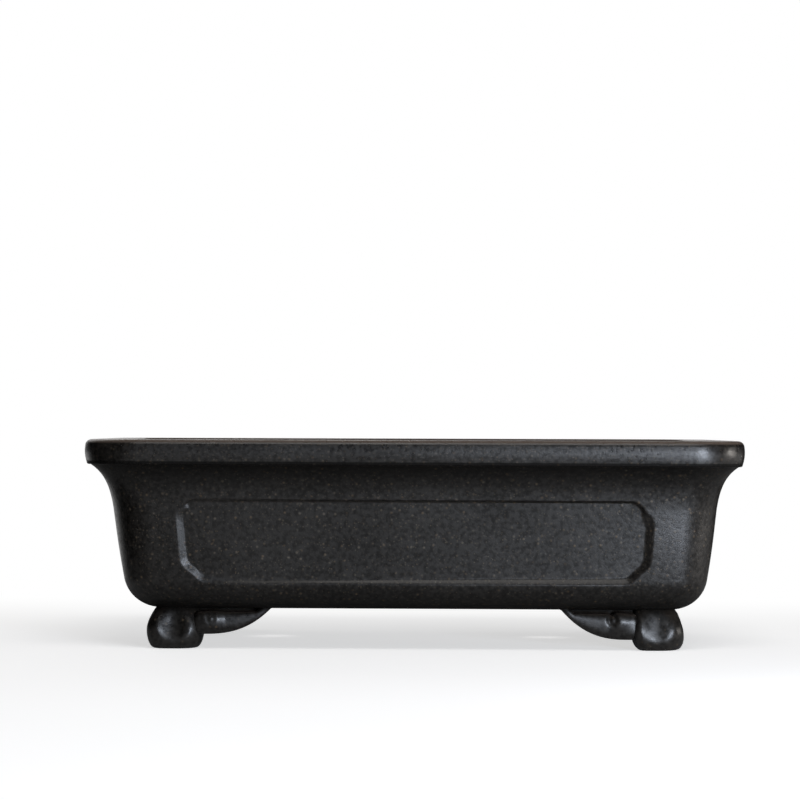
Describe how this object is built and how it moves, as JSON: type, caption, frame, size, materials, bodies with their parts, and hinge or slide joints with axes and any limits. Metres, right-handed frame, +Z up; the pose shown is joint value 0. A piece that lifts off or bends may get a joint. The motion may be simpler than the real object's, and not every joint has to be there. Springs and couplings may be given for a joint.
{
  "type": "rectangular clay planter",
  "caption": "Low rectangular planter of dark unglazed clay with a flared neck, an out-turned rim band, sunken panels with stepped corners, drain holes and cloud-scroll feet.",
  "frame": {"origin": "on the ground under the middle of the pot", "axes": "+X along the length, +Y to the back, +Z up out of the mouth"},
  "size_m": [0.3, 0.204, 0.096],
  "materials": {
    "wall_clay": "unglazed dark clay with pale specks, smoothed to a satin",
    "rim_clay": "unglazed dark clay, burnished",
    "foot_clay": "unglazed dark clay, modelled and burnished"
  },
  "bodies": {
    "root": {"floor_slab": "wall_clay", "front_wall": "wall_clay", "right_wall": "wall_clay", "back_wall": "wall_clay", "left_wall": "wall_clay", "front_rim_strip": "rim_clay", "right_rim_strip": "rim_clay", "back_rim_strip": "rim_clay", "left_rim_strip": "rim_clay", "front_seam_coil": "wall_clay", "right_seam_coil": "wall_clay", "back_seam_coil": "wall_clay", "left_seam_coil": "wall_clay", "front_right_paw": "foot_clay", "front_left_paw": "foot_clay", "back_right_paw": "foot_clay", "back_left_paw": "foot_clay", "front_right_wing": "foot_clay", "front_left_wing": "foot_clay", "back_right_wing": "foot_clay", "back_left_wing": "foot_clay", "front_right_end_wing": "foot_clay", "front_left_end_wing": "foot_clay", "back_right_end_wing": "foot_clay", "back_left_end_wing": "foot_clay"}
  },
  "joints": []
}
